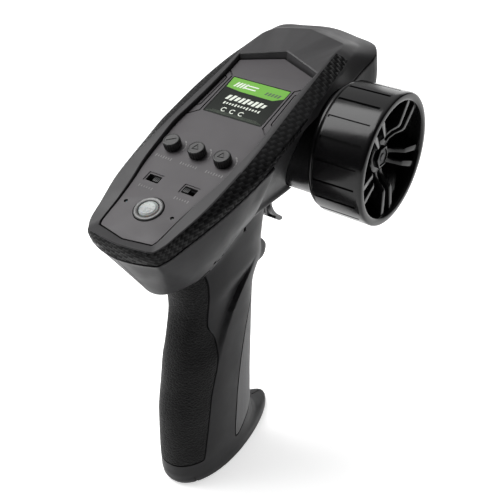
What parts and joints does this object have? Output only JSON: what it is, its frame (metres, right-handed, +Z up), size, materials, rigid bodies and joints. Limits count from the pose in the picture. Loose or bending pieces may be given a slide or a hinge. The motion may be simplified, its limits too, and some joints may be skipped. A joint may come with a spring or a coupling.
{
  "type": "pistol-grip radio transmitter",
  "caption": "Handheld pistol-grip radio controller with a side steering wheel, a throttle trigger, trim knobs, slide switches and a power button.",
  "frame": {"origin": "middle of the flat underside of the foot", "axes": "+Z up, +Y towards the front of the head, +X towards the steering wheel"},
  "size_m": [0.0895, 0.1608, 0.1959],
  "materials": {
    "shell_body": "fine moulded texture",
    "shell_cover": "fine moulded texture with a woven pattern band",
    "panel": "satin paint",
    "label": "printed label under a clear film",
    "rear_pad": "grained soft touch",
    "front_pad": "finely dotted soft touch",
    "shell_door": "fine moulded texture",
    "gloss_boss": "gloss",
    "gloss_wheel": "gloss",
    "trigger_plastic": "satin",
    "knob_plastic": "satin",
    "slider_plastic": "satin",
    "button_lens": "frosted translucent",
    "button_ring": "satin chrome",
    "led_lens": "clear",
    "inner_plastic": "moulded",
    "circuit_board": "solder mask",
    "cell_sleeve": "printed sleeve",
    "antenna_sleeve": "sleeve",
    "steel": "satin",
    "spring_steel": "drawn wire",
    "brass": "plain"
  },
  "bodies": {
    "body": {"housing_right": "shell_body", "housing_left": "shell_body", "top_cover": "shell_cover", "control_panel": "panel", "label_plate": "label", "rear_grip_pad": "rear_pad", "front_grip_pad": "front_pad", "steering_boss": "gloss_boss", "shaft_bush": "brass", "wheel_spring": "spring_steel", "steering_pot": "inner_plastic", "trigger_pin": "steel", "trigger_spring": "spring_steel", "throttle_pot": "inner_plastic", "power_button_ring": "button_ring", "power_switch": "inner_plastic", "main_board": "circuit_board", "radio_module": "inner_plastic", "antenna_wire": "antenna_sleeve", "led_left": "led_lens", "led_right": "led_lens", "battery_tray": "inner_plastic", "battery_contact_left": "brass", "battery_contact_right": "brass", "battery_spring_plate": "brass", "switch_body_left": "inner_plastic", "switch_body_right": "inner_plastic", "battery_cell_1": "cell_sleeve", "battery_cell_2": "cell_sleeve", "battery_cell_3": "cell_sleeve", "battery_cell_4": "cell_sleeve", "trim_pot_1": "inner_plastic", "trim_pot_2": "inner_plastic", "trim_pot_3": "inner_plastic", "housing_screw_1": "steel", "housing_screw_2": "steel", "housing_screw_3": "steel", "housing_screw_4": "steel", "housing_screw_5": "steel", "board_screw_1": "steel", "board_screw_2": "steel"},
    "wheel": {"steering_wheel": "gloss_wheel", "wheel_nut": "steel", "wheel_shaft": "steel", "return_cam": "inner_plastic"},
    "trigger": {"trigger": "trigger_plastic"},
    "knob_1": {"trim_knob_1": "knob_plastic"},
    "knob_2": {"trim_knob_2": "knob_plastic"},
    "knob_3": {"trim_knob_3": "knob_plastic"},
    "slider_left": {"switch_slider_left": "slider_plastic"},
    "slider_right": {"switch_slider_right": "slider_plastic"},
    "power_button": {"power_button": "button_lens"},
    "battery_door": {"battery_door": "shell_door"}
  },
  "joints": [
    {"name": "wheel_turn", "type": "hinge", "parent": "body", "child": "wheel", "pos_m": [0.045, 0.0537, 0.1556], "axis": [1, 0, 0], "range_deg": [-38, 38], "stiffness_Nm_per_rad": 0.06},
    {"name": "trigger_pull", "type": "hinge", "parent": "body", "child": "trigger", "pos_m": [0, 0.038, 0.1415], "axis": [-1, 0, 0], "range_deg": [-10, 20], "stiffness_Nm_per_rad": 0.08},
    {"name": "knob_turn_1", "type": "hinge", "parent": "body", "child": "knob_1", "pos_m": [-0.013, -0.00813, 0.16683], "axis": [0, -0.3165, 0.9486], "range_deg": [-135, 135]},
    {"name": "knob_turn_2", "type": "hinge", "parent": "body", "child": "knob_2", "pos_m": [0, -0.00813, 0.16683], "axis": [0, -0.3165, 0.9486], "range_deg": [-135, 135]},
    {"name": "knob_turn_3", "type": "hinge", "parent": "body", "child": "knob_3", "pos_m": [0.013, -0.00813, 0.16683], "axis": [0, -0.3165, 0.9486], "range_deg": [-135, 135]},
    {"name": "switch_slide_left", "type": "slide", "parent": "body", "child": "slider_left", "axis": [-1, 0, 0], "range_m": [0, 0.0026]},
    {"name": "switch_slide_right", "type": "slide", "parent": "body", "child": "slider_right", "axis": [1, 0, 0], "range_m": [0, 0.0026]},
    {"name": "power_press", "type": "slide", "parent": "body", "child": "power_button", "axis": [0, 0.3165, -0.9486], "range_m": [0, 0.0007], "stiffness_N_per_m": 300},
    {"name": "battery_door_open", "type": "hinge", "parent": "body", "child": "battery_door", "pos_m": [0, 0.0022, 0.001], "axis": [1, 0, 0], "range_deg": [0, 70]}
  ]
}
